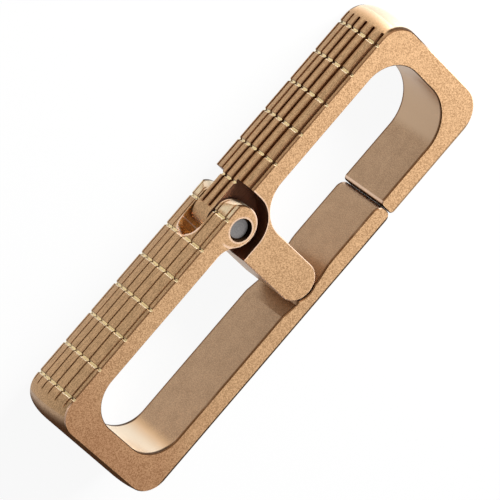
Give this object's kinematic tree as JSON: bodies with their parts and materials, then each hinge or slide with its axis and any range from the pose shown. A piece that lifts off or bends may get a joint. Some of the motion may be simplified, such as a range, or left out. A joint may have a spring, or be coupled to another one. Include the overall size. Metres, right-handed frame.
{
  "type": "belt key clip",
  "caption": "Flat bronze-coloured metal belt clip: a loop for a belt and a loop for keys, hinged on a steel pin and snapped shut by a tongue in a springy arm, with a grooved grip edge.",
  "frame": {"origin": "on the flat back face, under the middle of the closed clip's box", "axes": "+X from the grooved grip edge to the springy arm, +Y along the clip to the hook end, +Z out of the front face"},
  "size_m": [0.0214, 0.0684, 0.0093],
  "materials": {
    "bronze": "bead blasted, satin",
    "steel": "satin"
  },
  "bodies": {
    "frame": {"lower_frame": "bronze", "hinge_pin": "steel"},
    "hook": {"upper_hook": "bronze"}
  },
  "joints": [
    {"name": "hook_hinge", "type": "hinge", "parent": "frame", "child": "hook", "pos_m": [-0.00702, 0.00015, 0.00465], "axis": [0, 0, 1], "range_deg": [0, 90]}
  ]
}
